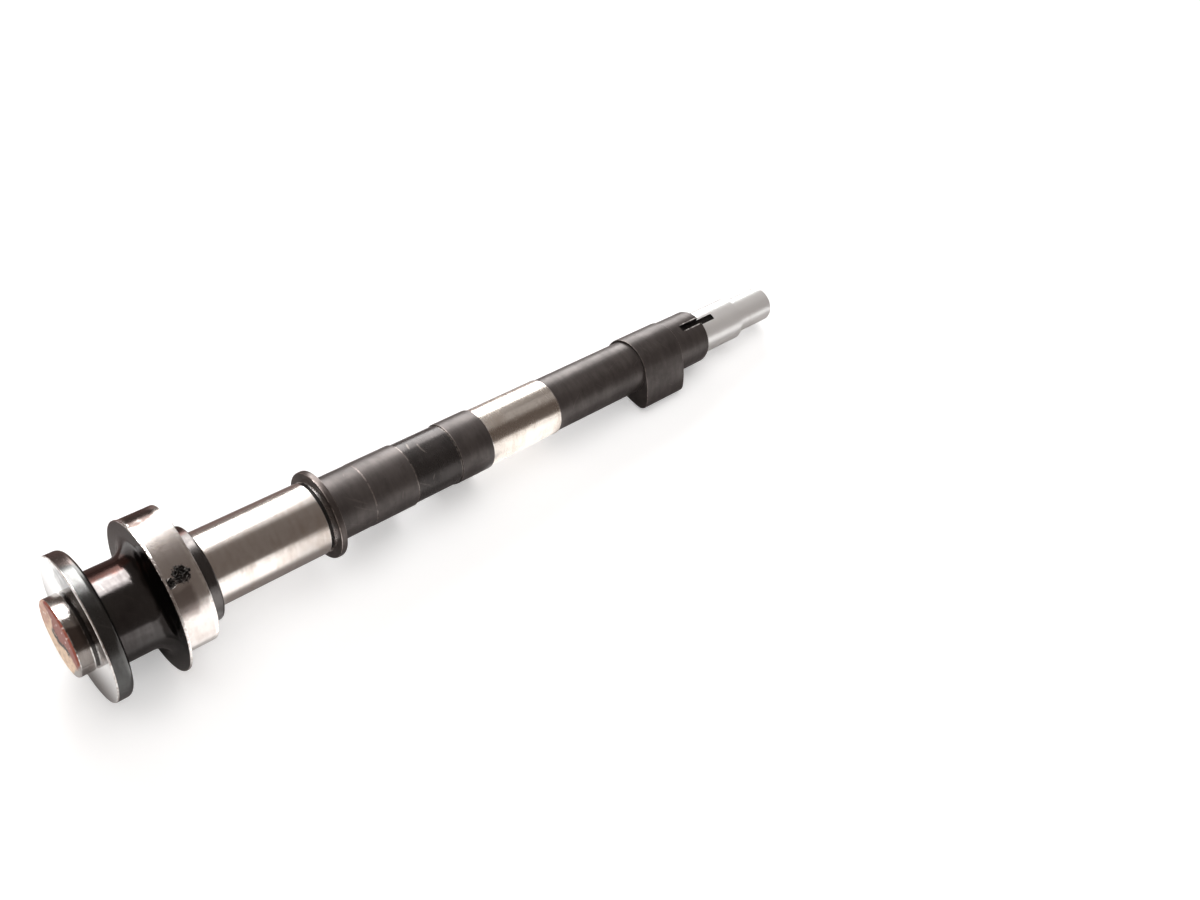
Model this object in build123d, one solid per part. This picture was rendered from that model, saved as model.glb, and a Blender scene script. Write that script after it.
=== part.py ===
"""Camshaft with two front flanges, a ground drive cam, three valve cams and two journals.

The shaft lies along +X with its front end towards -X and +Z up. The origin is the centre
of the front journal. Angles round the shaft run from +Y towards +Z. All sizes are in mm.
"""

from build123d import *
import math
import os

# Driving dimensions.
# Lengths along the shaft, from the front end to the rear end.
stub_length = 5.5
front_relief_width = 0.6
front_flange_thickness = 6.1
neck_length = 17.8
guide_rim_thickness = 0.9
drive_cam_width = 12.5
collar_length = 5.2
front_journal_length = 44.2
thrust_relief_width = 1.1
thrust_land_width = 0.9
thrust_flange_thickness = 2.6
plain_shaft_length = 15.8
first_cam_width = 19.0
cam_spacer_length = 20.6
second_cam_width = 15.6
rear_journal_length = 35.5
rear_shaft_length = 47.8
third_cam_width = 23.1
drive_seat_length = 18.1
spigot_length = 25.4
tail_length = 22.5

# Diameters.
stub_diameter = 28.0
front_flange_diameter = 53.2
neck_diameter = 33.6
guide_rim_diameter = 56.0
collar_diameter = 35.6
front_journal_diameter = 28.0
thrust_flange_diameter = 34.4
plain_shaft_diameter = 25.0
cam_spacer_diameter = 24.4
rear_journal_diameter = 24.0
rear_shaft_diameter = 23.2
drive_seat_diameter = 24.2
spigot_diameter = 19.6
tail_diameter = 16.0

# Cams: base circle, height of the nose over it, nose radius, flank radius, nose angle.
drive_cam_base_diameter = 45.8
drive_cam_lift = 5.0
drive_cam_nose_radius = 17.0
drive_cam_flank_radius = 60.0
drive_cam_angle = 50.0
valve_cam_base_diameter = 25.3
valve_cam_lift = 7.2
valve_cam_nose_radius = 4.5
valve_cam_flank_radius = 42.0
first_cam_angle = 284.0
second_cam_angle = 284.0
third_cam_angle = 217.5

# Grooves, keyway and centre hole.
relief_depth = 0.8
keyway_width = 3.0
keyway_depth = 3.2
keyway_cutter_diameter = 28.0
keyway_run_into_seat = 12.5
keyway_run_into_spigot = 9.4
keyway_angle = 101.0
centre_hole_diameter = 6.3
centre_pilot_diameter = 2.5
centre_hole_depth = 6.5
centre_cone_half_angle = 30.0

# Broken edges and fillets.
stub_chamfer = 0.7
flange_chamfer = 0.5
flange_back_radius = 2.2
neck_fillet = 6.0
collar_radius = 1.0
relief_chamfer = 0.3
cam_chamfer = 0.4
seat_chamfer = 1.2
tail_chamfer = 1.0

# Worn pits in the drive cam: place along the cam, angle, width across the dish.
pit_depth = 0.7
large_pit = (6.5, 120.0, 5.2)
small_pit = (2.4, 123.0, 3.6)

# Stations along the shaft.
front_of_journal = (
    stub_length
    + front_relief_width
    + front_flange_thickness
    + neck_length
    + guide_rim_thickness
    + drive_cam_width
    + collar_length
)
front_end_x = -(front_of_journal + front_journal_length / 2)
front_relief_x = front_end_x + stub_length
front_flange_x = front_relief_x + front_relief_width
neck_x = front_flange_x + front_flange_thickness
guide_rim_x = neck_x + neck_length
drive_cam_x = guide_rim_x + guide_rim_thickness
collar_x = drive_cam_x + drive_cam_width
front_journal_x = collar_x + collar_length
thrust_relief_x = front_journal_x + front_journal_length
thrust_land_x = thrust_relief_x + thrust_relief_width
thrust_flange_x = thrust_land_x + thrust_land_width
plain_shaft_x = thrust_flange_x + thrust_flange_thickness
first_cam_x = plain_shaft_x + plain_shaft_length
cam_spacer_x = first_cam_x + first_cam_width
second_cam_x = cam_spacer_x + cam_spacer_length
rear_journal_x = second_cam_x + second_cam_width
rear_shaft_x = rear_journal_x + rear_journal_length
third_cam_x = rear_shaft_x + rear_shaft_length
drive_seat_x = third_cam_x + third_cam_width
spigot_x = drive_seat_x + drive_seat_length
tail_x = spigot_x + spigot_length
rear_end_x = tail_x + tail_length

# Where each turned step starts, and its diameter. It ends where the next one starts.
steps = [
    (front_end_x, stub_diameter),
    (front_relief_x, stub_diameter - 2 * relief_depth),
    (front_flange_x, front_flange_diameter),
    (neck_x, neck_diameter),
    (guide_rim_x, guide_rim_diameter),
    (drive_cam_x, drive_cam_base_diameter - 2 * cam_chamfer),
    (collar_x, collar_diameter),
    (front_journal_x, front_journal_diameter),
    (thrust_relief_x, front_journal_diameter - 2 * relief_depth),
    (thrust_land_x, front_journal_diameter),
    (thrust_flange_x, thrust_flange_diameter),
    (plain_shaft_x, plain_shaft_diameter),
    (cam_spacer_x, cam_spacer_diameter),
    (rear_journal_x, rear_journal_diameter),
    (rear_shaft_x, rear_shaft_diameter),
    (drive_seat_x, drive_seat_diameter),
    (spigot_x, spigot_diameter),
    (tail_x, tail_diameter),
]

# How near an edge has to be to a station, and to a radius, to be the one there.
rim_tolerance = 0.001


def turned_blank():
    """The shaft as it leaves the lathe: one profile, revolved."""
    ends = [start for start, diameter in steps[1:]] + [rear_end_x]
    points = [(front_end_x, 0)]
    for (start, diameter), end in zip(steps, ends):
        points.append((start, diameter / 2))
        points.append((end, diameter / 2))
    points.append((rear_end_x, 0))
    profile = make_face(Polyline(*points, close=True))
    return revolve(profile, Axis.X)


def rim_at(body, x, diameter):
    """The round edge of the body at one station and diameter."""
    rims = body.edges().filter_by(GeomType.CIRCLE)
    near = [
        rim
        for rim in rims
        if abs(rim.arc_center.X - x) < rim_tolerance
        and abs(rim.radius - diameter / 2) < rim_tolerance
    ]
    return ShapeList(near)


def break_rims(body):
    """Chamfers on the outer corners and fillets in the inner ones."""
    chamfers = [
        (front_end_x, stub_diameter, stub_chamfer),
        (front_flange_x, front_flange_diameter, flange_chamfer),
        (front_journal_x + front_journal_length, front_journal_diameter, relief_chamfer),
        (thrust_flange_x, thrust_flange_diameter, flange_chamfer),
        (plain_shaft_x, thrust_flange_diameter, flange_chamfer),
        (spigot_x, drive_seat_diameter, seat_chamfer),
        (tail_x, spigot_diameter, tail_chamfer),
        (rear_end_x, tail_diameter, tail_chamfer),
    ]
    fillets = [
        (neck_x, front_flange_diameter, flange_back_radius),
        (guide_rim_x, neck_diameter, neck_fillet),
        (front_journal_x, collar_diameter, collar_radius),
    ]
    for x, diameter, size in chamfers:
        body = chamfer(rim_at(body, x, diameter), size)
    for x, diameter, size in fillets:
        body = fillet(rim_at(body, x, diameter), size)
    return body


def cam_outline(base_diameter, lift, nose_radius, flank_radius):
    """Cam section, nose towards +X: base circle, two flank arcs and a nose arc, all tangent."""
    base_radius = base_diameter / 2
    nose_centre = Vector(base_radius + lift - nose_radius, 0)
    to_base = flank_radius - base_radius
    to_nose = flank_radius - nose_radius
    along = (to_base**2 - to_nose**2 + nose_centre.X**2) / (2 * nose_centre.X)
    across = math.sqrt(to_base**2 - along**2)
    flank_centre = Vector(along, -across)
    base_end = flank_centre * (-base_radius / to_base)
    nose_end = nose_centre + (nose_centre - flank_centre) * (nose_radius / to_nose)
    half_way = (base_end + nose_end) * 0.5 - flank_centre
    flank_middle = flank_centre + half_way.normalized() * flank_radius
    flank = ThreePointArc(base_end, flank_middle, nose_end)
    other_flank = mirror(flank, Plane.XZ)
    nose = ThreePointArc(nose_end, (base_radius + lift, 0), (nose_end.X, -nose_end.Y))
    base = ThreePointArc(base_end, (-base_radius, 0), (base_end.X, -base_end.Y))
    return make_face(Curve() + [flank, other_flank, nose, base])


def cam(start, width, nose_angle, outline):
    """A cam lobe on the shaft, with both its rims broken."""
    plane = Plane.YZ.offset(start)
    lobe = extrude(plane * Rot(0, 0, nose_angle) * outline, width)
    rims = lobe.faces().filter_by(Axis.X).edges()
    return chamfer(rims, cam_chamfer)


def keyway_cut():
    """The keyway's floor runs out at its front end, as a slotting cutter leaves it."""
    cutter_radius = keyway_cutter_diameter / 2
    floor = drive_seat_diameter / 2 - keyway_depth
    sink = math.sqrt(cutter_radius**2 - (cutter_radius - keyway_depth) ** 2)
    cutter_x = spigot_x - keyway_run_into_seat + sink
    end_x = spigot_x + keyway_run_into_spigot
    cutter = Pos(cutter_x, 0, floor + cutter_radius) * Rot(90, 0, 0) * Cylinder(
        cutter_radius, keyway_width
    )
    slot = Pos(cutter_x, 0, floor) * Box(
        end_x - cutter_x,
        keyway_width,
        drive_seat_diameter,
        align=(Align.MIN, Align.CENTER, Align.MIN),
    )
    return Rot(keyway_angle - 90, 0, 0) * (cutter + slot)


def centre_hole():
    """Lathe centre in the rear end: a pilot hole under a 60 degree cone."""
    radius = centre_hole_diameter / 2
    pilot_radius = centre_pilot_diameter / 2
    cone_length = (radius - pilot_radius) / math.tan(math.radians(centre_cone_half_angle))
    seat = Plane((rear_end_x, 0, 0), z_dir=(-1, 0, 0))
    outward = (Align.CENTER, Align.CENTER, Align.MIN)
    cone = Cone(radius, pilot_radius, cone_length, align=outward)
    pilot = Cylinder(pilot_radius, centre_hole_depth, align=outward)
    return seat * (cone + pilot)


def pit(place, angle, width):
    """A shallow dish worn into the base circle of the drive cam."""
    ball_radius = (width**2 / 4 + pit_depth**2) / (2 * pit_depth)
    height = drive_cam_base_diameter / 2 + ball_radius - pit_depth
    return Rot(angle - 90, 0, 0) * Pos(drive_cam_x + place, 0, height) * Sphere(ball_radius)


def camshaft():
    """The whole shaft, one piece."""
    drive_outline = cam_outline(
        drive_cam_base_diameter, drive_cam_lift, drive_cam_nose_radius, drive_cam_flank_radius
    )
    valve_outline = cam_outline(
        valve_cam_base_diameter, valve_cam_lift, valve_cam_nose_radius, valve_cam_flank_radius
    )
    body = break_rims(turned_blank())
    body += cam(drive_cam_x, drive_cam_width, drive_cam_angle, drive_outline)
    body += cam(first_cam_x, first_cam_width, first_cam_angle, valve_outline)
    body += cam(second_cam_x, second_cam_width, second_cam_angle, valve_outline)
    body += cam(third_cam_x, third_cam_width, third_cam_angle, valve_outline)
    body -= keyway_cut()
    body -= centre_hole()
    body -= pit(*large_pit)
    body -= pit(*small_pit)
    return body


os.makedirs("parts", exist_ok=True)
shaft = camshaft()
export_step(shaft, "parts/camshaft.step")
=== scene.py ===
import math
import random

import bmesh
import bpy
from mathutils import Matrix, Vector


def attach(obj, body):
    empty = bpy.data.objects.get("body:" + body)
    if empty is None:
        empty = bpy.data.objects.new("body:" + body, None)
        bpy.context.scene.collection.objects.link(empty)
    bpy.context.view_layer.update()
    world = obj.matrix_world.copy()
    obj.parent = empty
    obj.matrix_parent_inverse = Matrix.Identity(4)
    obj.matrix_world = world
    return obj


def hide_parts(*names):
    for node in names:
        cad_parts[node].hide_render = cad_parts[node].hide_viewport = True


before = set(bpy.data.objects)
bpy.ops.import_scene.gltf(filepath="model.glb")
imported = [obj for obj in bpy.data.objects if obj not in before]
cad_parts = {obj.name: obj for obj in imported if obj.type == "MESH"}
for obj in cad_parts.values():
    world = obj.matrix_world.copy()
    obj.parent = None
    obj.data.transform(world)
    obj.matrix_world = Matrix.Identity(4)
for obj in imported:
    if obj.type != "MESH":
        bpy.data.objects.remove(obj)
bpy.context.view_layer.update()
mm = 0.001
tolerance = 1e-6  # metres; how near a corner is to a place to be the one there


def deselectAll():
    if bpy.context.object and bpy.context.object.mode == "EDIT":
        bpy.ops.object.mode_set(mode="OBJECT")
    bpy.ops.object.select_all(action="DESELECT")


def makeActive(piece):
    deselectAll()
    piece.select_set(True)
    bpy.context.view_layer.objects.active = piece


def startEdit(piece, kind):
    makeActive(piece)
    bpy.ops.object.mode_set(mode="EDIT")
    bpy.ops.mesh.select_mode(type=kind)
    bpy.ops.mesh.select_all(action="DESELECT")


def pick(piece, kind, test):
    mesh = bmesh.from_edit_mesh(piece.data)
    for part in getattr(mesh, kind):
        part.select_set(bool(test(part)))
    mesh.select_flush_mode()
    bmesh.update_edit_mesh(piece.data)


def radiusOf(point):
    return math.hypot(point.y, point.z)


def roundShaft(x, radius, turn):
    return (x * mm, radius * math.cos(turn) * mm, radius * math.sin(turn) * mm)


def applyPlace(piece):
    makeActive(piece)
    bpy.ops.object.transform_apply(location=True, rotation=True, scale=True)


def turnRoundShaft(piece, turn):
    makeActive(piece)
    bpy.ops.transform.rotate(value=-turn, orient_axis="X", center_override=(0, 0, 0))
    applyPlace(piece)


def joinTo(piece, tool, operation):
    makeActive(piece)
    cut = piece.modifiers.new("join", "BOOLEAN")
    cut.operation = operation
    cut.solver = "EXACT"
    cut.object = tool
    bpy.ops.object.modifier_apply(modifier=cut.name)
    bpy.data.objects.remove(tool)


def joinAll(pieces):
    deselectAll()
    for piece in pieces:
        piece.select_set(True)
    bpy.context.view_layer.objects.active = pieces[0]
    bpy.ops.object.join()
    return pieces[0]


shaft = {
    "sides": 192,
    # where each step starts along the shaft and its diameter, in millimetres
    "steps": [
        (-70.7, 28.0),
        (-65.2, 26.4),
        (-64.6, 53.2),
        (-58.5, 33.6),
        (-40.7, 56.0),
        (-39.8, 45.0),
        (-28.5, 35.6),
        (-22.1, 28.0),
        (22.1, 26.4),
        (23.2, 28.0),
        (24.1, 34.4),
        (26.7, 25.0),
        (52.0, 24.4),
        (90.0, 24.0),
        (133.2, 23.2),
        (190.0, 24.2),
        (222.2, 19.6),
        (247.6, 16.0),
    ],
    "end": 270.1,
    # place, diameter, size and segments of each broken edge and fillet
    "edges": [
        (-70.7, 28.0, 0.7, 3),
        (-65.2, 28.0, 0.2, 2),
        (-64.6, 53.2, 0.5, 2),
        (-58.5, 53.2, 2.2, 7),
        (-58.5, 33.6, 0.8, 4),
        (-40.7, 33.6, 6.0, 10),
        (-40.7, 56.0, 0.2, 2),
        (-22.1, 35.6, 1.0, 5),
        (-22.1, 28.0, 0.3, 2),
        (22.1, 28.0, 0.3, 1),
        (24.1, 34.4, 0.5, 2),
        (26.7, 34.4, 0.5, 2),
        (26.7, 25.0, 0.6, 3),
        (133.2, 24.0, 0.3, 1),
        (222.2, 24.2, 1.2, 2),
        (222.2, 19.6, 0.4, 2),
        (247.6, 19.6, 1.0, 1),
        (270.1, 16.0, 1.0, 1),
    ],
}


def isOnRim(edge, x, diameter):
    return all(
        abs(corner.co.x - x * mm) < tolerance
        and abs(radiusOf(corner.co) - diameter / 2 * mm) < tolerance
        for corner in edge.verts
    )


# the stub is a cylinder, and every later step is drawn out of the end of the one before
def turnShaft():
    startX, diameterNow = shaft["steps"][0]
    later = shaft["steps"][1:]
    nextX = later[0][0]
    deselectAll()
    bpy.ops.mesh.primitive_cylinder_add(
        vertices=shaft["sides"],
        radius=diameterNow / 2 * mm,
        depth=(nextX - startX) * mm,
        location=((startX + nextX) / 2 * mm, 0, 0),
        rotation=(0, math.pi / 2, 0),
    )
    piece = bpy.context.object
    piece.name = "camshaft_steel"
    applyPlace(piece)
    startEdit(piece, "FACE")
    pick(piece, "faces", lambda face: face.normal.x > 0.9)
    ends = [x for x, diameter in later[1:]] + [shaft["end"]]
    for (x, diameter), end in zip(later, ends):
        bpy.ops.mesh.extrude_region_move(TRANSFORM_OT_translate={"value": (0, 0, 0)})
        ratio = diameter / diameterNow
        bpy.ops.transform.resize(value=(1, ratio, ratio), center_override=(x * mm, 0, 0))
        bpy.ops.mesh.extrude_region_move(
            TRANSFORM_OT_translate={"value": ((end - x) * mm, 0, 0)}
        )
        diameterNow = diameter
    for x, diameter, size, segments in shaft["edges"]:
        bpy.ops.mesh.select_mode(type="EDGE")
        pick(piece, "edges", lambda edge: isOnRim(edge, x, diameter))
        bpy.ops.mesh.bevel(offset=size * mm, segments=segments, profile=0.5)
    bpy.ops.object.mode_set(mode="OBJECT")
    return piece


# place, width and nose angle of each cam; base, nose and flank are radii, in millimetres
valveCam = dict(base=12.65, lift=7.2, nose=4.5, flank=42.0)
cams = {
    "drive": dict(x=-39.8, width=12.5, angle=50, base=22.9, lift=5.0, nose=17.0, flank=60.0),
    "first": dict(x=42.5, width=19.0, angle=284, **valveCam),
    "second": dict(x=82.1, width=15.6, angle=284, **valveCam),
    "third": dict(x=181.0, width=23.1, angle=217.5, **valveCam),
}
camDetail = {"rim": 0.4, "rimSegments": 2, "flankSteps": 20, "noseSteps": 28, "baseSteps": 110}


# one corner is spun round four centres: flank, nose, flank and base circle, all tangent
def cutCam(name):
    facts = cams[name]
    base, lift, nose, flank = (facts[key] for key in ("base", "lift", "nose", "flank"))
    noseMiddle = base + lift - nose
    toBase, toNose = flank - base, flank - nose
    along = (toBase**2 - toNose**2 + noseMiddle**2) / (2 * noseMiddle)
    across = math.sqrt(toBase**2 - along**2)
    turn = math.radians(facts["angle"])

    def placed(u, v):
        return Vector(
            (
                facts["x"],
                u * math.cos(turn) - v * math.sin(turn),
                u * math.sin(turn) + v * math.cos(turn),
            )
        ) * mm

    baseCorner = (-along * base / toBase, across * base / toBase)
    flankTurn = math.atan2(across, noseMiddle - along) - math.atan2(across, -along)
    noseTurn = -2 * math.atan2(across, noseMiddle - along)
    baseTurn = -2 * math.pi - noseTurn - 2 * flankTurn
    arcs = [
        ((along, -across), flankTurn, camDetail["flankSteps"]),
        ((noseMiddle, 0), noseTurn, camDetail["noseSteps"]),
        ((along, across), flankTurn, camDetail["flankSteps"]),
        ((0, 0), baseTurn, camDetail["baseSteps"]),
    ]
    deselectAll()
    bpy.ops.mesh.primitive_plane_add(size=mm, location=placed(*baseCorner))
    piece = bpy.context.object
    applyPlace(piece)
    startEdit(piece, "VERT")
    bpy.ops.mesh.select_all(action="SELECT")
    bpy.ops.mesh.merge(type="CENTER")
    bpy.ops.mesh.select_all(action="SELECT")
    for middle, angle, steps in arcs:
        bpy.ops.mesh.spin(steps=steps, angle=-angle, center=placed(*middle), axis=(1, 0, 0))
    bpy.ops.mesh.select_all(action="SELECT")
    bpy.ops.mesh.remove_doubles(threshold=tolerance)
    bpy.ops.mesh.edge_face_add()
    bpy.ops.mesh.extrude_region_move(
        TRANSFORM_OT_translate={"value": (facts["width"] * mm, 0, 0)}
    )
    bpy.ops.mesh.select_all(action="SELECT")
    bpy.ops.mesh.normals_make_consistent(inside=False)
    bpy.ops.mesh.select_mode(type="EDGE")
    pick(piece, "edges", lambda edge: abs(edge.verts[0].co.x - edge.verts[1].co.x) < tolerance)
    bpy.ops.mesh.bevel(
        offset=camDetail["rim"] * mm, segments=camDetail["rimSegments"], profile=0.5
    )
    bpy.ops.object.mode_set(mode="OBJECT")
    piece.name = name + "_cam"
    return piece


keyway = {
    "angle": 101.0,
    "width": 3.0,
    "depth": 3.2,
    "cutterRadius": 14.0,
    "cutterSides": 160,
    "seatRadius": 12.1,
    "slotHeight": 12,
    "frontEnd": 209.7,
    "rearEnd": 231.6,
    # a painted highlight along both lips of the slot, and how wide it is
    "lipHighlight": (0.90, 0.86, 0.83, 1),
    "lipWidth": (0.25, 0.65),
}


# a round cutter sinks in at the front end, and a plain slot runs on from there
def cutKeyway(piece):
    floor = keyway["seatRadius"] - keyway["depth"]
    radius = keyway["cutterRadius"]
    sink = math.sqrt(radius**2 - (radius - keyway["depth"]) ** 2)
    cutterX = keyway["frontEnd"] + sink
    length = keyway["rearEnd"] - cutterX
    turn = math.radians(keyway["angle"] - 90)
    deselectAll()
    bpy.ops.mesh.primitive_cylinder_add(
        vertices=keyway["cutterSides"],
        radius=radius * mm,
        depth=keyway["width"] * mm,
        location=(cutterX * mm, 0, (floor + radius) * mm),
        rotation=(math.pi / 2, 0, 0),
    )
    cutter = bpy.context.object
    turnRoundShaft(cutter, turn)
    joinTo(piece, cutter, "DIFFERENCE")
    deselectAll()
    bpy.ops.mesh.primitive_cube_add(
        size=mm,
        location=((cutterX + length / 2) * mm, 0, (floor + keyway["slotHeight"] / 2) * mm),
        scale=(length, keyway["width"], keyway["slotHeight"]),
    )
    slot = bpy.context.object
    turnRoundShaft(slot, turn)
    joinTo(piece, slot, "DIFFERENCE")


centreHole = {
    "x": 270.1,
    "radius": 3.15,
    "sides": 96,
    "halfAngle": 30.0,
    "pilotRadius": 1.25,
    "pilotSides": 48,
    "depth": 6.5,
}


# both tools stand half outside the shaft, so each is twice as long as its hole
def drillCentre(piece):
    radius, pilotRadius = centreHole["radius"], centreHole["pilotRadius"]
    coneLength = (radius - pilotRadius) / math.tan(math.radians(centreHole["halfAngle"]))
    place = dict(location=(centreHole["x"] * mm, 0, 0), rotation=(0, math.pi / 2, 0))
    deselectAll()
    bpy.ops.mesh.primitive_cylinder_add(
        vertices=centreHole["pilotSides"],
        radius=pilotRadius * mm,
        depth=centreHole["depth"] * 2 * mm,
        **place,
    )
    joinTo(piece, bpy.context.object, "DIFFERENCE")
    deselectAll()
    bpy.ops.mesh.primitive_cone_add(
        vertices=centreHole["sides"],
        radius1=0,
        radius2=radius * 2 * mm,
        depth=coneLength / (1 - pilotRadius / radius) * 2 * mm,
        **place,
    )
    joinTo(piece, bpy.context.object, "DIFFERENCE")


# two dishes worn into the drive cam; fouled is how far the dirt reaches round each
pits = {
    "depth": 0.7,
    "sides": 96,
    "large": dict(x=-33.3, angle=120.0, width=5.2, fouled=3.0),
    "small": dict(x=-37.4, angle=123.0, width=3.6, fouled=1.7),
    "colour": (0.012, 0.010, 0.009, 1),
    "ragged": 4.2,
    "rougher": 0.3,
}


def wearPits(piece):
    depth = pits["depth"]
    for name in ("large", "small"):
        facts = pits[name]
        ball = (facts["width"] ** 2 / 4 + depth**2) / (2 * depth)
        height = cams["drive"]["base"] + ball - depth
        deselectAll()
        bpy.ops.mesh.primitive_uv_sphere_add(
            segments=pits["sides"],
            ring_count=pits["sides"] // 2,
            radius=ball * mm,
            location=roundShaft(facts["x"], height, math.radians(facts["angle"])),
        )
        joinTo(piece, bpy.context.object, "DIFFERENCE")


# small chips in the thin guide rim; within and wander scatter them round and along it
nicks = {
    "seed": 11,
    "count": 12,
    "x": -40.4,
    "radius": 28.05,
    "angles": (88.0, 132.0),
    "sizes": (0.25, 0.6),
    "within": (0.2, 0.8),
    "wander": (-0.3, 0.3),
}


def nickRim(piece):
    chance = random.Random(nicks["seed"])
    first, last = nicks["angles"]
    gap = (last - first) / nicks["count"]
    deselectAll()
    stones = []
    for index in range(nicks["count"]):
        turn = math.radians(first + gap * (index + chance.uniform(*nicks["within"])))
        size = chance.uniform(*nicks["sizes"])
        x = nicks["x"] + chance.uniform(*nicks["wander"])
        bpy.ops.mesh.primitive_ico_sphere_add(
            subdivisions=2, radius=size * mm, location=roundShaft(x, nicks["radius"], turn)
        )
        stones.append(bpy.context.object)
    joinTo(piece, joinAll(stones), "DIFFERENCE")


# dirt in the pits; angles are radians, and every fourth flake lies in the small pit
flakes = {
    "seed": 5,
    "count": 46,
    "inSmallPit": 4,
    "spread": 0.62,
    "length": (0.7, 2.3),
    "breadth": (0.22, 0.5),
    "thickness": 0.16,
    "sunk": 0.35,
    "roll": (-0.25, 0.25),
    "tilt": (-0.3, 0.3),
    "swing": (-0.5, 0.5),
    "dark": (0.008, 0.007, 0.006, 1),
    "light": (0.05, 0.04, 0.034, 1),
    "glint": (0.75, 0.72, 0.68, 1),
}


def layFlakes():
    chance = random.Random(flakes["seed"])
    baseRadius = cams["drive"]["base"]
    pieces = []
    for index in range(flakes["count"]):
        pit = pits["large"] if index % flakes["inSmallPit"] else pits["small"]
        outward = chance.uniform(0, 2 * math.pi)
        reach = pit["width"] * flakes["spread"] * math.sqrt(chance.random())
        around = reach * math.sin(outward)
        dish = max(0.0, 1 - (2 * reach / pit["width"]) ** 2) * pits["depth"]
        turn = math.radians(pit["angle"]) + around / baseRadius
        height = baseRadius - dish + flakes["sunk"] * flakes["thickness"]
        deselectAll()
        bpy.ops.mesh.primitive_ico_sphere_add(subdivisions=1, radius=mm)
        piece = bpy.context.object
        piece.scale = (
            chance.uniform(*flakes["length"]) / 2,
            chance.uniform(*flakes["breadth"]) / 2,
            flakes["thickness"],
        )
        piece.rotation_euler = (
            chance.uniform(*flakes["roll"]),
            chance.uniform(*flakes["tilt"]),
            outward + chance.uniform(*flakes["swing"]),
        )
        applyPlace(piece)
        piece.location = ((pit["x"] + reach * math.cos(outward)) * mm, 0, height * mm)
        applyPlace(piece)
        turnRoundShaft(piece, turn - math.pi / 2)
        pieces.append(piece)
    dirt = joinAll(pieces)
    dirt.name = "pit_dirt"
    return dirt


# one socket of a material, so that sums on it read as sums
class Flow:
    def __init__(self, tree, socket=None):
        self.tree = tree
        self.socket = socket

    def node(self, kind, settings, inputs, output=0):
        made = self.tree.nodes.new(kind)
        for name, value in settings.items():
            setattr(made, name, value)
        for name, value in inputs.items():
            if isinstance(value, Flow):
                self.tree.links.new(value.socket, made.inputs[name])
            else:
                made.inputs[name].default_value = value
        return Flow(self.tree, made.outputs[output])

    def feed(self, shader, name):
        self.tree.links.new(self.socket, shader.inputs[name])

    def maths(self, operation, first, second=0.0):
        return self.node("ShaderNodeMath", {"operation": operation}, {0: first, 1: second})

    def __add__(self, other):
        return self.maths("ADD", self, other)

    __radd__ = __add__

    def __sub__(self, other):
        return self.maths("SUBTRACT", self, other)

    def __rsub__(self, other):
        return self.maths("SUBTRACT", other, self)

    def __mul__(self, other):
        return self.maths("MULTIPLY", self, other)

    __rmul__ = __mul__

    def size(self):
        return self.maths("ABSOLUTE", self)

    def larger(self, other):
        return self.maths("MAXIMUM", self, other)

    def smaller(self, other):
        return self.maths("MINIMUM", self, other)

    def length(self, other):
        return self.maths("SQRT", self * self + other * other)

    def ease(self, low, high):
        return self.node(
            "ShaderNodeMapRange",
            {"interpolation_type": "SMOOTHSTEP"},
            {"Value": self, "From Min": low, "From Max": high},
        )

    def blend(self, mask, below, above):
        return self.node(
            "ShaderNodeMix",
            {"data_type": "RGBA"},
            {0: mask, 6: below, 7: above},  # 6, 7 and output 2 are the colours
            2,
        )

    def place(self, x, y, z):
        return self.node("ShaderNodeCombineXYZ", {}, {0: x, 1: y, 2: z})

    def noise(self, place, scale, detail=3.0, rough=0.55):
        return self.node(
            "ShaderNodeTexNoise",
            {},
            {"Vector": place, "Scale": scale, "Detail": detail, "Roughness": rough},
        )

    def cells(self, place, scale):
        return self.node("ShaderNodeTexVoronoi", {}, {"Vector": place, "Scale": scale}, "Distance")


def newMaterial(name):
    material = bpy.data.materials.new(name)
    material.use_nodes = True
    return material, material.node_tree.nodes["Principled BSDF"]


# a place on the piece in millimetres, whole and as its x, y and z
def surface(material):
    start = Flow(material.node_tree)
    objectPlace = start.node("ShaderNodeTexCoord", {}, {}, "Object")
    spot = start.node(
        "ShaderNodeVectorMath", {"operation": "SCALE"}, {0: objectPlace, "Scale": 1 / mm}
    )
    parts = [start.node("ShaderNodeSeparateXYZ", {}, {0: spot}, axis) for axis in range(3)]
    return start, spot, parts


def dress(shader, colour, roughness, height, lift):
    colour.feed(shader, "Base Color")
    roughness.feed(shader, "Roughness")
    bump = height.node("ShaderNodeBump", {}, {"Height": height, "Distance": lift * mm})
    bump.feed(shader, "Normal")


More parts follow.
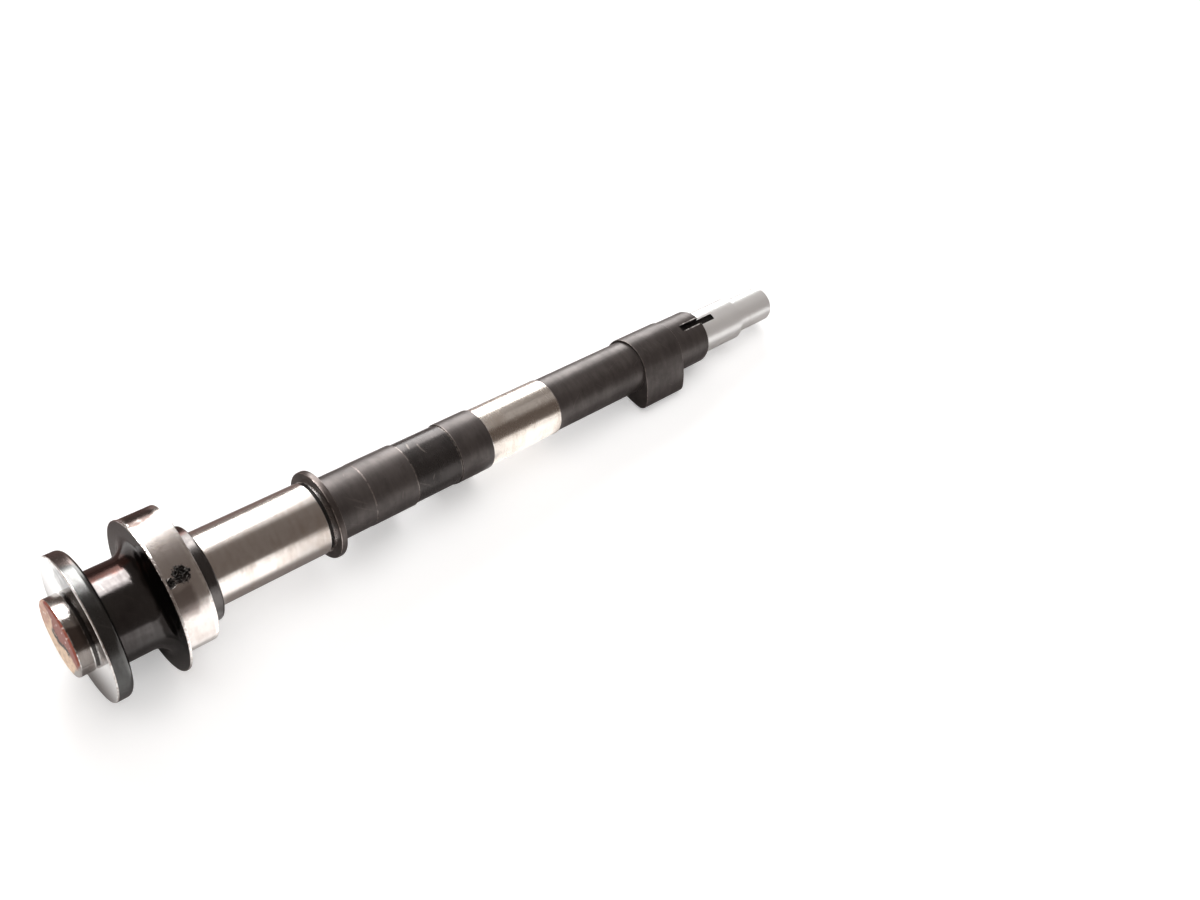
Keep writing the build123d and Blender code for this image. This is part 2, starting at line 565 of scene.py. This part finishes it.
# colours are linear, lengths millimetres and angles degrees round the shaft; ends are
# where edges are worn bright; a faced surface is turned across, so its radius counts too;
# a tint is angle, half angle, place, half width, colour and strength
brown = (0.085, 0.036, 0.028, 1)
looks = {
    "ground steel": dict(
        base=(0.75, 0.70, 0.665, 1), stain=(0.60, 0.52, 0.465, 1), worn=(0.88, 0.86, 0.84, 1),
        metallic=1.0, roughness=(0.13, 0.24), marks=0.22, patches=0.035, cover=0.45, lift=0.006,
        scratches=0.25, specks=0.15, ends=(-70.0, -65.3, 22.0), edge=0.6, faced=False,
    ),
    "stub steel": dict(
        base=(0.52, 0.485, 0.465, 1), stain=(0.30, 0.245, 0.215, 1), worn=(0.88, 0.86, 0.84, 1),
        metallic=1.0, roughness=(0.14, 0.25), marks=0.35, patches=0.06, cover=0.45, lift=0.006,
        scratches=0.25, specks=0.2, ends=(-70.0, -65.4), edge=0.4, faced=False,
        tints=[
            # painted reflections: a darker brown band round the upper front of the stub, a lighter
            # grey band under it
            (133.0, 17.0, -68.0, 30.0, (0.115, 0.082, 0.070, 1), 0.85),
            (186.0, 38.0, -68.0, 30.0, (0.23, 0.205, 0.19, 1), 0.8),
        ],
    ),
    "cam ground": dict(
        base=(0.68, 0.63, 0.60, 1), stain=(0.52, 0.45, 0.41, 1), worn=(0.88, 0.84, 0.80, 1),
        metallic=1.0, roughness=(0.15, 0.27), marks=0.25, patches=0.05, cover=0.42, lift=0.008,
        scratches=0.2, specks=0.15, ends=(-39.9, -27.9), edge=1.3, faced=False,
        tints=[
            # painted reflection: a dark brown patch over the top of the nose
            (46.0, 25.0, -34.5, 5.6, (0.072, 0.043, 0.036, 1), 0.92),
            (143.0, 13.0, -36.0, 4.0, brown, 0.5),
        ],
    ),
    "mirror face": dict(
        base=(0.80, 0.79, 0.78, 1), stain=(0.52, 0.48, 0.46, 1), worn=(0.88, 0.86, 0.84, 1),
        metallic=1.0, roughness=(0.10, 0.20), marks=0.2, patches=0.05, cover=0.3, lift=0.006,
        scratches=0.2, specks=0.15, ends=(-38.0,), edge=0.8, faced=True,
        # painted reflection of the stub: the upper part of the flange's front face is darkened
        tints=[(112.0, 44.0, -64.6, 30.0, (0.045, 0.042, 0.042, 1), 0.93)],
    ),
    "flange rim": dict(
        base=(0.098, 0.098, 0.096, 1), stain=(0.046, 0.042, 0.040, 1), worn=(0.50, 0.48, 0.47, 1),
        metallic=0.9, roughness=(0.19, 0.30), marks=0.25, patches=0.06, cover=0.4, lift=0.008,
        scratches=0.1, specks=0.2, ends=(-64.5,), edge=0.3, faced=False,
        tints=[
            # painted reflections: brown across the top of the rim, a darker band on its upper front
            (62.0, 14.0, -61.0, 30.0, (0.20, 0.145, 0.13, 1), 0.6),
            (134.0, 20.0, -61.0, 30.0, (0.050, 0.046, 0.044, 1), 0.6),
        ],
    ),
    "oiled black": dict(
        base=(0.082, 0.076, 0.074, 1), stain=(0.050, 0.044, 0.043, 1), worn=(0.24, 0.20, 0.18, 1),
        metallic=0.92, roughness=(0.11, 0.18), marks=0.06, patches=0.03, cover=0.5, lift=0.002,
        scratches=0.08, specks=0.2, ends=(-12.9,), edge=0.5, faced=True,
        tints=[
            # painted reflection: a brown band along the top of the neck
            (66.0, 15.0, -52.0, 30.0, brown, 0.85),
            # painted shade: the guide rim's front face and the corner below it, darkened nearly to
            # black
            (150.0, 120.0, -41.0, 2.6, (0.016, 0.013, 0.012, 1), 0.92),
        ],
    ),
    "collar": dict(
        base=(0.105, 0.097, 0.094, 1), stain=(0.055, 0.048, 0.046, 1), worn=(0.30, 0.26, 0.24, 1),
        metallic=0.92, roughness=(0.16, 0.26), marks=0.2, patches=0.05, cover=0.45, lift=0.008,
        scratches=0.1, specks=0.25, ends=(-4.5,), edge=0.5, faced=True,
        # painted reflection: brown across the top of the collar
        tints=[(62.0, 16.0, -24.0, 30.0, brown, 0.7)],
    ),
    # painted shade: a near-black finish for the grooves, the keyway and the drive cam's rear face
    "shaded relief": dict(
        base=(0.030, 0.026, 0.024, 1), stain=(0.01, 0.008, 0.008, 1), worn=(0.15, 0.13, 0.12, 1),
        metallic=0.7, roughness=(0.35, 0.55), marks=0.4, patches=0.12, cover=0.5, lift=0.01,
        scratches=0.0, specks=0.3, ends=(-65.2,), edge=0.2, faced=True,
    ),
    "worn edge": dict(
        base=(0.58, 0.52, 0.49, 1), stain=(0.36, 0.27, 0.24, 1), worn=(0.85, 0.82, 0.80, 1),
        metallic=1.0, roughness=(0.22, 0.36), marks=0.1, patches=0.10, cover=0.4, lift=0.004,
        scratches=0.1, specks=0.1, ends=(0.0,), edge=0.1, faced=True,
    ),
    "phosphate": dict(
        base=(0.100, 0.086, 0.081, 1), stain=(0.062, 0.052, 0.049, 1), worn=(0.20, 0.168, 0.155, 1),
        metallic=0.6, roughness=(0.28, 0.40), marks=0.22, patches=0.05, cover=0.5, lift=0.012,
        scratches=0.22, specks=0.4, edge=0.35, faced=False,
        ends=(42.6, 61.4, 82.2, 97.6, 133.3, 181.1, 204.0),
    ),
    "cam side": dict(
        base=(0.085, 0.073, 0.069, 1), stain=(0.045, 0.038, 0.035, 1), worn=(0.24, 0.20, 0.185, 1),
        metallic=0.6, roughness=(0.30, 0.44), marks=0.30, patches=0.06, cover=0.5, lift=0.012,
        scratches=0.15, specks=0.4, edge=0.3, faced=True,
        ends=(0.0,),
    ),
    "dark spacer": dict(
        base=(0.060, 0.053, 0.051, 1), stain=(0.030, 0.026, 0.025, 1), worn=(0.24, 0.21, 0.19, 1),
        metallic=0.7, roughness=(0.20, 0.32), marks=0.25, patches=0.05, cover=0.45, lift=0.010,
        scratches=0.45, specks=0.3, ends=(61.6, 82.0), edge=0.4, faced=False,
    ),
    "pale journal": dict(
        base=(0.76, 0.70, 0.64, 1), stain=(0.60, 0.52, 0.45, 1), worn=(0.88, 0.85, 0.82, 1),
        metallic=1.0, roughness=(0.20, 0.32), marks=0.25, patches=0.04, cover=0.42, lift=0.006,
        scratches=0.2, specks=0.0, ends=(97.8, 133.1), edge=0.6, faced=False,
        # painted reflection: a darker band on the upper front of the rear journal
        tints=[(136.0, 12.0, 115.0, 40.0, (0.40, 0.33, 0.28, 1), 0.6)],
    ),
    # painted glare: a paler, less metallic copy of the ground steel for the spigot and the end
    "glare-pale end": dict(
        base=(0.90, 0.89, 0.88, 1), stain=(0.74, 0.71, 0.68, 1), worn=(0.93, 0.92, 0.91, 1),
        metallic=0.6, roughness=(0.26, 0.36), marks=0.12, patches=0.04, cover=0.30, lift=0.005,
        scratches=0.1, specks=0.1, ends=(247.6,), edge=0.6, faced=False,
    ),
    "thrust flange": dict(
        base=(0.125, 0.106, 0.099, 1), stain=(0.055, 0.044, 0.040, 1), worn=(0.48, 0.42, 0.39, 1),
        metallic=0.92, roughness=(0.24, 0.38), marks=0.2, patches=0.06, cover=0.45, lift=0.008,
        scratches=0.1, specks=0.2, ends=(41.3, 43.8), edge=0.3, faced=True,
    ),
}


# what all finishes share; patterns are how fine along the shaft and round it, detail and
# roughness; pairs are where a mask starts and is full
wear = {
    "coarse": (1.1, 0.05, 4.0, 0.7),
    "fine": (5.0, 0.10, 3.0, 0.7),
    "streak": (0.5, 0.12, 5.0, 0.6),
    "stainEdge": 0.16,
    "scratch": (0.70, 0.73),
    "crossScratch": (0.715, 0.735),
    "grit": (0.52, 0.62),
    "speck": (0.10, 0.20),
    "speckColour": (0.01, 0.008, 0.007, 1),
    "bright": 0.12,
    "ragged": (0.36, 0.56),
    "tint": (0.72, 1.22),
    "tintWobble": 1.3,
}


def steelFinish(name):
    look = looks[name]
    material, shader = newMaterial(name)
    shader.inputs["Metallic"].default_value = look["metallic"]
    start, spot, (x, y, z) = surface(material)
    across = x + y.length(z) if look["faced"] else x

    def drawn(along, pattern):
        finer, around, detail, rough = wear[pattern]
        return start.noise(start.place(along * finer, y * around, z * around), 1.0, detail, rough)

    lines = drawn(across, "coarse") * 0.6 + drawn(across, "fine") * 0.4
    patch = start.noise(spot, look["patches"] * 2, 6.0, 0.62)
    bare, soft = 1 - look["cover"], wear["stainEdge"]
    stained = (patch * 0.6 + drawn(x, "streak") * 0.4).ease(bare - soft, bare + soft)
    slanted = start.place(x * 0.55 + z * 0.9, y * 0.06 - z * 0.02, x * 0.04)
    crossed = start.place(x * 0.4 - y * 1.1 + z * 0.3, z * 0.05, x * 0.03)
    scored = start.noise(slanted, 1.7, 2.0, 0.4).ease(*wear["scratch"])
    scored = scored.larger(start.noise(crossed, 1.5, 2.0, 0.4).ease(*wear["crossScratch"]))
    scored = scored * look["scratches"]
    gritty = start.noise(spot, 0.35, 2.0).ease(*wear["grit"])
    specks = (1 - start.cells(spot, 0.9).ease(*wear["speck"])) * gritty * look["specks"]
    edge = None
    for end in look["ends"]:
        near = 1 - (across - end).size().ease(wear["bright"], look["edge"])
        edge = near if edge is None else edge.larger(near)
    edge = edge * start.noise(spot, 0.8, 3.0).ease(*wear["ragged"])
    colour = start.blend(stained, look["base"], look["stain"])
    wobble = (start.noise(spot, 0.16, 2.0) - 0.5) * wear["tintWobble"]
    # each tint lays a band of colour round the shaft; most are painted reflections and painted
    # shade
    for angle, halfAngle, middle, halfWidth, tint, strength in look.get("tints", []):
        around = (start.maths("ARCTAN2", z, y) - math.radians(angle)).size()
        gap = (around * (1 / math.radians(halfAngle))).larger((x - middle).size() * (1 / halfWidth))
        near = 1 - (gap + wobble).ease(*wear["tint"])
        colour = start.blend(near * strength, colour, tint)
    colour = start.blend((lines - 0.5).size() * look["marks"], colour, look["stain"])
    colour = start.blend(scored, colour, look["worn"])
    colour = start.blend(specks, colour, wear["speckColour"])
    colour = start.blend(edge, colour, look["worn"])
    smooth, rough = look["roughness"]
    roughness = stained * (rough - smooth) * 0.6 + lines * (rough - smooth) * 0.8 + smooth
    roughness = roughness + specks * 0.3 - edge * 0.05
    height = lines * look["marks"] - scored * 0.5 - specks * 2.0 + patch * 0.4
    dress(shader, colour, roughness, height, look["lift"])
    return material


# cream above, red below and a torn crack between them, on the face of the stub;
# pairs are where a mask starts and is full, in millimetres from the middle of the face
paint = {
    "facing": 121.5,
    "cream": (0.90, 0.67, 0.48, 1),
    "salmon": (0.62, 0.33, 0.25, 1),
    "red": (0.30, 0.085, 0.064, 1),
    "stain": (0.36, 0.19, 0.13, 1),
    "speck": (0.88, 0.74, 0.66, 1),
    "crack": (0.036, 0.016, 0.012, 1),
    "bare": (0.42, 0.39, 0.37, 1),
    "redFrom": 5.5,
    "redDip": 6.0,
    "salmonUpTo": (-8.5, -5.0),
    "crackFrom": (-5.0, -3.5),
    "crackUpTo": (5.5, 7.5),
    "crackWidth": (1.8, 2.4),
    "bareFrom": (10.5, 12.0),
    "gloss": 0.12,
    "lift": 0.12,
}


def paintedEnd():
    material, shader = newMaterial("painted end")
    shader.inputs["Specular IOR Level"].default_value = paint["gloss"]
    start, spot, (x, y, z) = surface(material)
    facing = math.radians(paint["facing"])
    toward = y * math.cos(facing) + z * math.sin(facing)
    down = z * math.cos(facing) - y * math.sin(facing)
    flat = start.place(toward * 0.45, down, 0.0)
    wobble = (start.noise(flat, 0.28, 4.0, 0.6) - 0.5) * 9.0
    middle = 1 - (down + 1.5).size().ease(1.5, 6.0)
    gap = toward - (paint["redFrom"] - middle * paint["redDip"] + wobble * 0.5)
    red = gap.ease(-0.8, 0.8)
    salmon = 1 - (down + wobble * 0.6).ease(*paint["salmonUpTo"])
    salmon = salmon.larger((1 - gap.size().ease(1.0, 3.6)) * 0.6)
    torn = (start.noise(flat, 1.5, 3.0, 0.7) - 0.5) * 7.0
    crack = 1 - (gap + 1.5 + torn).size().ease(*paint["crackWidth"])
    crack = crack * down.ease(*paint["crackFrom"]) * (1 - down.ease(*paint["crackUpTo"]))
    crack = crack * start.noise(flat, 0.9, 2.0).ease(0.36, 0.44)
    bare = (down + wobble * 0.5).ease(*paint["bareFrom"])
    shade = start.noise(flat, 0.5, 5.0, 0.65)
    specks = 1 - start.cells(flat, 0.5).ease(0.14, 0.26)
    colour = start.blend(salmon * 0.8, paint["cream"], paint["salmon"])
    colour = start.blend(red, colour, paint["red"])
    colour = start.blend((shade - 0.42).ease(0.0, 0.25) * 0.45, colour, paint["stain"])
    colour = start.blend(specks * (salmon + red * 0.6).smaller(1.0), colour, paint["speck"])
    colour = start.blend(crack, colour, paint["crack"])
    colour = start.blend(bare, colour, paint["bare"])
    height = red * 0.5 + shade * 0.8 - crack * 1.5 - bare * 0.8
    dress(shader, colour, shade * 0.25 + 0.36, height, paint["lift"])
    return material


def dirtFinish():
    material, shader = newMaterial("black dirt")
    start, spot, parts = surface(material)
    grain = start.noise(spot, 1.4, 4.0, 0.7)
    glint = 1 - start.cells(spot, 1.1).ease(0.08, 0.16)
    colour = start.blend(grain.ease(0.4, 0.7), flakes["dark"], flakes["light"])
    colour = start.blend(glint, colour, flakes["glint"])
    dress(shader, colour, grain * 0.4 + 0.25, grain, 0.05)
    return material


# a steel finish with one more colour laid over it inside a mask
def overlaid(name, under, maskOf, colour, rougher):
    material = steelFinish(under)
    material.name = name
    shader = material.node_tree.nodes["Principled BSDF"]
    start, spot, parts = surface(material)
    mask = maskOf(start, spot, *parts)
    plainColour, plainRoughness = (
        Flow(start.tree, shader.inputs[socket].links[0].from_socket)
        for socket in ("Base Color", "Roughness")
    )
    start.blend(mask, plainColour, colour).feed(shader, "Base Color")
    if rougher:
        (plainRoughness + mask * rougher).feed(shader, "Roughness")
    return material


def pitMask(start, spot, x, y, z):
    angle = start.maths("ARCTAN2", z, y)
    torn = (start.noise(spot, 0.9, 4.0, 0.75) - 0.5) * pits["ragged"]
    mask = None
    for name in ("large", "small"):
        pit = pits[name]
        around = (angle - math.radians(pit["angle"])) * cams["drive"]["base"]
        away = (x - pit["x"]).length(around) + torn
        near = 1 - away.ease(pit["fouled"] - 0.25, pit["fouled"] + 0.25)
        mask = near if mask is None else mask.larger(near)
    return mask


# painted highlight along the lips of the keyway, where the edges would catch the light
def lipHighlightMask(start, spot, x, y, z):
    turn = math.radians(keyway["angle"])
    aside = z * math.cos(turn) - y * math.sin(turn)
    height = y * math.cos(turn) + z * math.sin(turn)
    lip = 1 - (aside.size() - keyway["width"] / 2).size().ease(*keyway["lipWidth"])
    lip = lip * (x - keyway["frontEnd"]).ease(0.3, 2.5) * height.ease(11.0, 11.8)
    return lip * start.noise(spot, 0.5, 3.0).ease(0.30, 0.60)


def fouledCam():
    return overlaid("fouled cam", "cam ground", pitMask, pits["colour"], pits["rougher"])


def keyedSeat():
    return overlaid("keyed seat", "phosphate", lipHighlightMask, keyway["lipHighlight"], 0)


# from the front end to the rear; the first line that fits a face names its finish
def finishOf(face):
    x = face.center.x / mm
    radius = radiusOf(face.center) / mm
    slant = abs(face.normal.x)
    broken = 0.2 < slant < 0.97
    turn = math.degrees(math.atan2(face.center.z, face.center.y))
    if x < -69.9:
        return "painted end"
    if x < -65.19:
        return "stub steel"
    if x < -64.61:
        return "collar"  # floor of the front relief
    if x < -58.5 and face.normal.x < -0.97:
        return "mirror face"  # front flange
    if x < -63.9 and broken:
        return "worn edge"
    if x < -59.5 and radius > 26:
        return "flange rim"
    if x < -40.65:
        return "oiled black"  # back of the flange and the neck
    if x < -39.75 and radius > 24:
        return "worn edge"  # guide rim
    if x < -26.8 and radius > 18.5:
        inPit = 108 < turn < 134 and radius < 22.95 and -39.7 < x < -29.0
        if slant < 0.2 or inPit:
            return "fouled cam"
        return "worn edge" if broken else "shaded relief"
    if x < -22.05:
        return "collar"
    if x < 22.15:
        return "ground steel"  # front journal
    if x < 23.15:
        return "shaded relief"
    if x < 24.08:
        return "worn edge"
    if x < 27.5:
        return "thrust flange"
    if 41.5 < x < 222.1 and slant > 0.9:
        return "cam side"
    if 61.45 < x < 82.15 and radius < 12.3:
        return "dark spacer"
    if 97.65 < x < 133.15:
        return "pale journal"
    inSlot = abs(turn - keyway["angle"]) < 12 and keyway["frontEnd"] < x < keyway["rearEnd"] + 0.1
    if inSlot and radius < 12.05 and (radius < 9.7 or x < 221.0):
        return "shaded relief"
    if x > 222.1:
        return "glare-pale end"
    return "keyed seat" if x > 205.3 and radius < 12.2 else "phosphate"


def dressShaft(piece):
    special = {"painted end": paintedEnd, "fouled cam": fouledCam, "keyed seat": keyedSeat}
    order = ["ground steel", "fouled cam", "painted end", "keyed seat"]
    order += [name for name in looks if name not in order and name != "cam ground"]
    for name in order:
        piece.data.materials.append(special[name]() if name in special else steelFinish(name))
    for face in piece.data.polygons:
        face.material_index = order.index(finishOf(face))


def smoothShaft(piece):
    makeActive(piece)
    bpy.ops.object.shade_smooth_by_angle(angle=math.radians(35))
    even = piece.modifiers.new("even", "WEIGHTED_NORMAL")
    even.keep_sharp = True
    bpy.ops.object.modifier_apply(modifier=even.name)


studio = {
    "cameraPlace": (-131.76, -236.84, 341.67),
    "cameraTurn": (43.731, -10.648, -41.743),
    "focalLength": 35.4,
    "roomColour": (0.175, 0.150, 0.135, 1),
}

# millimetres, x along the shaft, near and far beside it; a slope leans a border over;
# pairs are where a mask starts and is full
floorLook = {
    "size": 5,
    "tilt": 3.286,
    "drop": -25.715,
    "colour": (0.82, 0.82, 0.82, 1),
    "shownGlow": 0.36,
    # from here on, only what the steel mirrors, as painted reflections: a glow where the floor
    # looks lit, painted shadow near the shaft and dark brown behind it
    "mirrorGlow": 0.95,
    "reflectedShadow": (0.16, 0.13, 0.12, 1),
    "underReach": (24.0, 42.0),
    "reflectedBrown": (0.11, 0.055, 0.045, 1),
    "behind": (30.0, 90.0),
    "litReach": (30.0, 48.0),
    "journal": dict(slope=0.32, x=(0.0, 12.0), dim=0.65),
    "neck": dict(slope=0.15, x=(-46.0, -38.0), dim=0.65),
    "cam": dict(front=(-37.0, -31.0), rear=(-18.0, -12.0), near=(20.0, 28.0), far=(110.0, 200.0)),
    "rear": dict(slope=0.57, front=(96.0, 100.0), rear=(131.0, 136.0), near=(-4.0, 6.0)),
    "face": dict(x=(-72.0, -66.0), y=(-12.0, 20.0), dark=0.22, light=0.26),
}


def layFloor():
    deselectAll()
    bpy.ops.mesh.primitive_plane_add(size=floorLook["size"])
    floor = bpy.context.object
    floor.name = "floor"
    floor.rotation_euler = (0, -math.radians(floorLook["tilt"]), 0)
    floor.location = (0, 0, floorLook["drop"] * mm)
    floor.data.materials.append(paperFinish())


def paperFinish():
    paper, shader = newMaterial("white paper")
    shader.inputs["Roughness"].default_value = 0.9
    shader.inputs["Emission Strength"].default_value = 1.0
    start, spot, (x, y, z) = surface(paper)
    seen = start.node("ShaderNodeLightPath", {}, {}, "Is Camera Ray")
    mirrored = start.node("ShaderNodeLightPath", {}, {}, "Is Glossy Ray")
    journal, neck, cam, rear, face = (
        floorLook[name] for name in ("journal", "neck", "cam", "rear", "face")
    )
    reach = 0 - y
    besideCam = x.ease(*cam["front"]) * (1 - x.ease(*cam["rear"])) * (1 - reach.ease(*cam["far"]))
    leaning = x - reach * rear["slope"]
    besideRear = leaning.ease(*rear["front"]) * (1 - leaning.ease(*rear["rear"]))
    beforeFace = 1 - x.ease(*face["x"])
    pastJournal = (x - reach * journal["slope"]).ease(*journal["x"])
    pastNeck = (x - reach * neck["slope"]).ease(*neck["x"])
    # painted reflection: where the floor glows in the steel, brighter than the lamps light it
    lit = reach.ease(*floorLook["litReach"]) * (1 - pastJournal * journal["dim"])
    lit = lit * (pastNeck * neck["dim"] + (1 - neck["dim"]))
    lit = lit.larger(besideCam * reach.ease(*cam["near"]))
    lit = lit.larger(besideRear * reach.ease(*rear["near"]))
    lit = lit.larger(beforeFace * (y.ease(*face["y"]) * face["light"] + face["dark"]))
    # painted shadow: the floor near the shaft looks darker, only in the steel
    under = (1 - reach.ease(*floorLook["underReach"])) * (1 - besideCam)
    under = under * (1 - besideRear) * (1 - beforeFace)
    # painted reflection: the floor behind the shaft looks dark brown, only in the steel
    behind = mirrored * y.ease(*floorLook["behind"]) * (1 - beforeFace)
    colour = start.blend(mirrored * under * 0.7, floorLook["colour"], floorLook["reflectedShadow"])
    colour = start.blend(behind, colour, floorLook["reflectedBrown"])
    glow = seen * floorLook["shownGlow"] + mirrored * lit * floorLook["mirrorGlow"]
    glow = start.blend(glow, (0, 0, 0, 1), (1, 1, 1, 1))
    colour.feed(shader, "Base Color")
    glow.feed(shader, "Emission Color")
    return paper


def placeCamera():
    data = bpy.data.cameras.new("camera")
    data.sensor_width = 36
    data.lens = studio["focalLength"]
    data.clip_start = 0.01
    camera = bpy.data.objects.new("camera", data)
    bpy.context.scene.collection.objects.link(camera)
    camera.location = [value * mm for value in studio["cameraPlace"]]
    camera.rotation_euler = [math.radians(value) for value in studio["cameraTurn"]]
    bpy.context.scene.camera = camera


# place, aim and size in metres, power in watts; a mirrored lamp shows only in the steel,
# and one that only lights doesn't show in it
lamps = {
    "back softbox": ((0.655, 0.90, 0.60), (0.655, 0, 0.60), (1.01, 0.66), 12.8, "all"),
    "cam strip": ((0.12, 0.29, 0.62), (-0.033, 0, 0.02), (0.055, 0.40), 0.75, "mirrored"),
    "low softbox": ((0.76, 0.90, 0.175), (0.76, 0, 0.175), (0.79, 0.23), 3.5, "mirrored"),
    "front strip": ((0.045, 0.47, 0.60), (-0.05, 0, 0), (0.19, 0.42), 3.6, "mirrored"),
    "journal strip": ((0.225, 0.42, 0.634), (0, 0, 0), (0.15, 0.28), 0.37, "mirrored"),
    "dim ceiling": ((0.62, 0.52, 1.4), (0.62, 0.51, 0), (0.47, 0.48), 0.33, "mirrored"),
    "soft ceiling": ((0.62, 0.43, 1.4), (0.62, 0.42, 0), (0.47, 0.66), 0.27, "mirrored"),
    "rear ceiling": ((1.02, -0.22, 1.4), (1.02, -0.23, 0), (0.45, 0.75), 0.36, "mirrored"),
    "front card": ((0.27, -0.9, 0.08), (0, 0, 0), (0.10, 0.20), 0.11, "mirrored"),
    "rear card": ((0.66, -0.9, 0.08), (0.115, 0, 0), (0.17, 0.20), 0.19, "mirrored"),
    "top fill": ((-0.1, -0.1, 1.6), (0.05, 0, 0), (1.8, 1.8), 19, "lights"),
    "end fill": ((-0.9, -0.55, 0.35), (-0.07, 0, 0), (0.5, 0.5), 4, "lights"),
}


def hangLamp(name, place, aim, size, power, does):
    data = bpy.data.lights.new(name, "AREA")
    data.shape = "RECTANGLE"
    data.size, data.size_y = size
    data.energy = power
    lamp = bpy.data.objects.new(name, data)
    bpy.context.scene.collection.objects.link(lamp)
    lamp.location = place
    lamp.rotation_euler = (Vector(aim) - Vector(place)).to_track_quat("-Z", "Y").to_euler()
    lamp.visible_diffuse = does != "mirrored"
    lamp.visible_glossy = does != "lights"


def paintRoom():
    world = bpy.data.worlds.new("studio")
    bpy.context.scene.world = world
    world.use_nodes = True
    world.node_tree.nodes["Background"].inputs[0].default_value = studio["roomColour"]
    bpy.context.scene.view_settings.view_transform = "Standard"


camshaft = turnShaft()
print("turned shaft", len(camshaft.data.polygons))
for name in cams:
    joinTo(camshaft, cutCam(name), "UNION")
print("cams", len(camshaft.data.polygons))
cutKeyway(camshaft)
drillCentre(camshaft)
wearPits(camshaft)
nickRim(camshaft)
print("cuts and wear", len(camshaft.data.polygons))
dressShaft(camshaft)
smoothShaft(camshaft)
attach(camshaft, "root")
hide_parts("camshaft")
print("finishes", len(camshaft.data.materials))

dirt = layFlakes()
dirt.data.materials.append(dirtFinish())
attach(dirt, "root")
print("dirt", len(dirt.data.polygons))

layFloor()
placeCamera()
for name, facts in lamps.items():
    hangLamp(name, *facts)
paintRoom()
print("studio", len(lamps))
